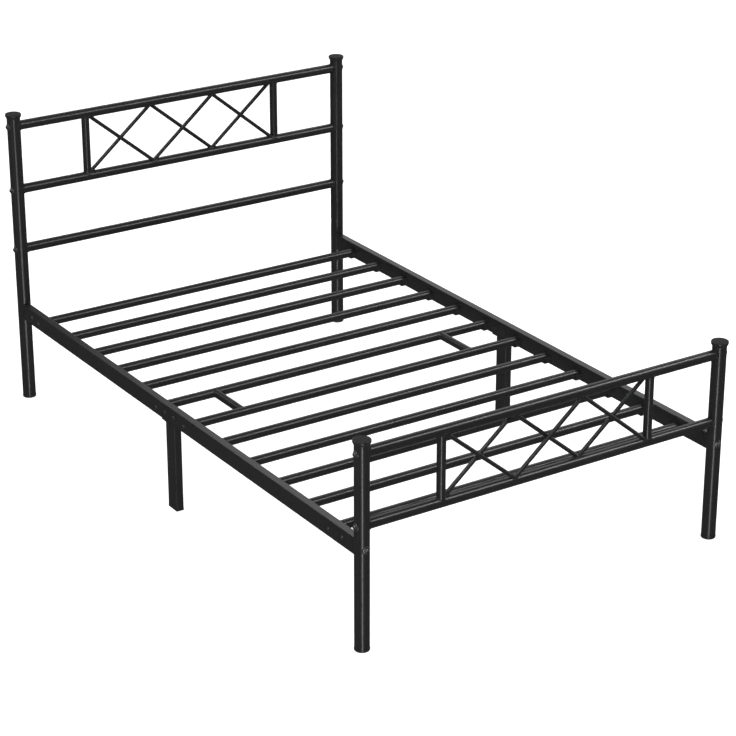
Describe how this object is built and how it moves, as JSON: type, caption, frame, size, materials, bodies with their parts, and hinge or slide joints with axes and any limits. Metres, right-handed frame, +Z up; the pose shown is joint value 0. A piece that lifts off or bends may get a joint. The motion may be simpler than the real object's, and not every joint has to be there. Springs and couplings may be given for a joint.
{
  "type": "metal bed frame",
  "caption": "Black metal bed frame with round posts, crossed-rod head and foot panels, tubular slats on rectangular side rails and middle legs.",
  "frame": {"origin": "on the floor, midway between the four posts", "axes": "+Z up, +Y from the foot end to the head end, +X to the right seen from the foot end"},
  "size_m": [1.2546, 2.0546, 0.966],
  "materials": {
    "powder_coat": "satin black powder coat",
    "black_plastic": "moulded black plastic",
    "black_fastener": "black coated steel hardware",
    "plain_steel": "plain turned steel, hidden in the tubes"
  },
  "bodies": {
    "root": {"foot_cap_left": "black_plastic", "foot_cap_right": "black_plastic", "foot_cross_rods": "powder_coat", "foot_glide_left": "black_plastic", "foot_glide_right": "black_plastic", "foot_lower_rail": "powder_coat", "foot_post_left": "powder_coat", "foot_post_right": "powder_coat", "foot_stile_left": "powder_coat", "foot_stile_right": "powder_coat", "foot_top_rail": "powder_coat", "head_cap_left": "black_plastic", "head_cap_right": "black_plastic", "head_cross_rods": "powder_coat", "head_glide_left": "black_plastic", "head_glide_right": "black_plastic", "head_lower_rail": "powder_coat", "head_middle_rail": "powder_coat", "head_post_left": "powder_coat", "head_post_right": "powder_coat", "head_stile_left": "powder_coat", "head_stile_right": "powder_coat", "head_top_rail": "powder_coat", "leg_bolts": "black_fastener", "leg_bracket_left": "powder_coat", "leg_bracket_right": "powder_coat", "leg_nuts": "black_fastener", "middle_leg_glides": "black_plastic", "middle_leg_left": "powder_coat", "middle_leg_right": "powder_coat", "panel_rail_bolts": "black_fastener", "panel_rail_inserts": "plain_steel", "plug_screws": "black_fastener", "rail_splice_left": "powder_coat", "rail_splice_right": "powder_coat", "saddle_washers": "black_fastener", "side_rail_bolts": "black_fastener", "side_rail_end_plugs": "black_plastic", "side_rail_left_foot": "powder_coat", "side_rail_left_head": "powder_coat", "side_rail_right_foot": "powder_coat", "side_rail_right_head": "powder_coat", "slat_01": "powder_coat", "slat_02": "powder_coat", "slat_03": "powder_coat", "slat_04": "powder_coat", "slat_05": "powder_coat", "slat_06": "powder_coat", "slat_07": "powder_coat", "slat_08": "powder_coat", "slat_09": "powder_coat", "slat_10": "powder_coat", "slat_11": "powder_coat", "slat_12": "powder_coat", "slat_bolts": "black_fastener", "slat_cradles_left": "powder_coat", "slat_cradles_right": "powder_coat", "slat_inserts": "plain_steel", "slat_tie_left": "powder_coat", "slat_tie_right": "powder_coat"}
  },
  "joints": []
}
